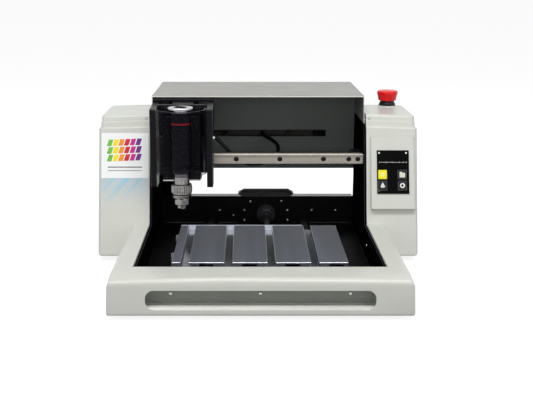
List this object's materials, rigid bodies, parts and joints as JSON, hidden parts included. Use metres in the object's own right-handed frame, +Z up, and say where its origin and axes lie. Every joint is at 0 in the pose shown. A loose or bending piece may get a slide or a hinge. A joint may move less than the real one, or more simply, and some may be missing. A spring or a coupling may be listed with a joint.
{
  "type": "bench-top engraving machine",
  "caption": "Bench-top engraving machine with a T-slot table that slides front to back, a gantry carriage that moves left to right, a lifting spindle, a keypad and a stop button.",
  "frame": {"origin": "on the bench, below the middle of the machine's bounding box", "axes": "+Y to the machine's back, +X to the right as seen from the front, +Z up"},
  "size_m": [0.644, 0.667, 0.322],
  "materials": {
    "light_grey_moulding": "fine satin paint on a moulded cover",
    "light_grey_sheet": "fine satin powder coat",
    "black_sheet": "satin black powder coat",
    "dark_grey_sheet": "matt dark grey paint",
    "ground_steel": "ground",
    "bright_steel": "bright machined",
    "table_aluminium": "extruded, natural anodised",
    "plain_aluminium": "machined",
    "black_anodised": "black anodised",
    "motor_steel": "black paint on a laminated stack",
    "smoked_acrylic": "smoked, see-through, gloss",
    "black_plastic": "satin",
    "red_plastic": "gloss red",
    "yellow_plastic": "satin yellow",
    "black_rubber": "matt",
    "green_board": "solder mask green"
  },
  "bodies": {
    "base": {"base_plate": "black_sheet", "side_frame_left": "black_sheet", "side_frame_right": "black_sheet", "front_tray_cover": "light_grey_moulding", "tower_cover_left": "light_grey_moulding", "tower_cover_right": "light_grey_moulding", "hood": "light_grey_sheet", "back_panel": "dark_grey_sheet", "rear_cover": "light_grey_sheet", "rear_wall": "black_sheet", "y_motor_cover": "black_sheet", "gantry_beam": "black_sheet", "x_rail": "ground_steel", "gantry_end_left": "black_anodised", "gantry_end_right": "black_anodised", "x_motor": "motor_steel", "y_rail_left": "ground_steel", "y_rail_right": "ground_steel", "y_bearing_hub": "black_anodised", "y_motor": "motor_steel", "control_pod": "light_grey_moulding", "keypad_membrane": "black_plastic", "estop_collar": "black_plastic", "foot_front_left": "black_rubber", "foot_front_right": "black_rubber", "foot_rear_left": "black_rubber", "foot_rear_right": "black_rubber", "power_inlet": "black_plastic", "controller_board": "green_board", "power_supply": "plain_aluminium", "spindle_cable": "black_rubber"},
    "table": {"t_slot_table": "table_aluminium", "table_carriage": "black_anodised"},
    "x_carriage": {"carriage_side_left": "black_anodised", "carriage_side_right": "black_anodised", "carriage_back_plate": "black_anodised", "carriage_top_plate": "black_anodised", "x_block_left": "ground_steel", "x_block_right": "ground_steel", "x_nut": "black_anodised", "z_motor": "motor_steel", "spindle_shield": "smoked_acrylic"},
    "z_head": {"z_slide_plate": "black_anodised", "spindle_clamp": "black_anodised", "spindle_body": "black_anodised", "micrometer_barrel": "bright_steel"},
    "spindle_rotor": {"cutter_knob": "bright_steel", "cutter": "bright_steel"},
    "depth_ring_body": {"depth_ring": "bright_steel"},
    "depth_nose_body": {"depth_nose": "bright_steel"},
    "x_screw_body": {"x_screw": "bright_steel"},
    "y_screw_body": {"y_screw": "bright_steel"},
    "z_screw_body": {"z_screw": "bright_steel"},
    "estop_stem_body": {"estop_stem": "black_plastic"},
    "estop_head_body": {"estop_head": "red_plastic"},
    "key_start_body": {"key_start": "yellow_plastic"},
    "key_menu_body": {"key_menu": "black_plastic"},
    "key_home_body": {"key_home": "black_plastic"},
    "key_pause_body": {"key_pause": "black_plastic"},
    "power_rocker_body": {"power_rocker": "black_plastic"}
  },
  "joints": [
    {"name": "table_slide", "type": "slide", "parent": "base", "child": "table", "axis": [0, 1, 0], "range_m": [0, 0.2286]},
    {"name": "x_slide", "type": "slide", "parent": "base", "child": "x_carriage", "axis": [1, 0, 0], "range_m": [0, 0.302], "deforming": ["spindle_cable"]},
    {"name": "z_slide", "type": "slide", "parent": "x_carriage", "child": "z_head", "axis": [0, 0, -1], "range_m": [0, 0.032]},
    {"name": "spindle_spin", "type": "hinge", "parent": "z_head", "child": "spindle_rotor", "pos_m": [-0.151, -0.01, 0.2], "axis": [0, 0, 1], "continuous": true},
    {"name": "depth_ring_turn", "type": "hinge", "parent": "z_head", "child": "depth_ring_body", "pos_m": [-0.151, -0.01, 0.15], "axis": [0, 0, 1], "range_deg": [-720, 720]},
    {"name": "depth_nose_slide", "type": "slide", "parent": "z_head", "child": "depth_nose_body", "axis": [0, 0, 1], "range_m": [-0.00128, 0.00128]},
    {"name": "x_screw_spin", "type": "hinge", "parent": "base", "child": "x_screw_body", "pos_m": [0, 0.104, 0.193], "axis": [-1, 0, 0], "range_deg": [0, 10875]},
    {"name": "y_screw_spin", "type": "hinge", "parent": "base", "child": "y_screw_body", "pos_m": [0.0204, 0, 0.0393], "axis": [0, -1, 0], "range_deg": [0, 8232]},
    {"name": "z_screw_spin", "type": "hinge", "parent": "x_carriage", "child": "z_screw_body", "pos_m": [-0.151, 0.066, 0.25], "axis": [0, 0, 1], "range_deg": [0, 1154]},
    {"name": "estop_push", "type": "slide", "parent": "base", "child": "estop_stem_body", "axis": [0, 0, -1], "range_m": [0, 0.004]},
    {"name": "estop_twist", "type": "hinge", "parent": "estop_stem_body", "child": "estop_head_body", "pos_m": [0.281, 0.205, 0.31], "axis": [0, 0, 1], "range_deg": [0, 45]},
    {"name": "key_home_press", "type": "slide", "parent": "base", "child": "key_home_body", "axis": [0, 0.9433, -0.3319], "range_m": [0, 0.0005], "stiffness_N_per_m": 800},
    {"name": "key_pause_press", "type": "slide", "parent": "base", "child": "key_pause_body", "axis": [0, 0.9433, -0.3319], "range_m": [0, 0.0005], "stiffness_N_per_m": 800},
    {"name": "key_start_press", "type": "slide", "parent": "base", "child": "key_start_body", "axis": [0, 0.9433, -0.3319], "range_m": [0, 0.0005], "stiffness_N_per_m": 800},
    {"name": "key_menu_press", "type": "slide", "parent": "base", "child": "key_menu_body", "axis": [0, 0.9433, -0.3319], "range_m": [0, 0.0005], "stiffness_N_per_m": 800},
    {"name": "power_rocker_tilt", "type": "hinge", "parent": "base", "child": "power_rocker_body", "pos_m": [0.145, 0.3265, 0.2075], "axis": [1, 0, 0], "range_deg": [0, 18]}
  ],
  "couplings": [
    {"joint": "x_screw_spin", "follows": "x_slide", "rad_per_m": 628.32},
    {"joint": "y_screw_spin", "follows": "table_slide", "rad_per_m": 628.32},
    {"joint": "z_screw_spin", "follows": "z_slide", "rad_per_m": 628.32},
    {"joint": "depth_nose_slide", "follows": "depth_ring_turn", "m_per_rad": 0.00010106}
  ]
}
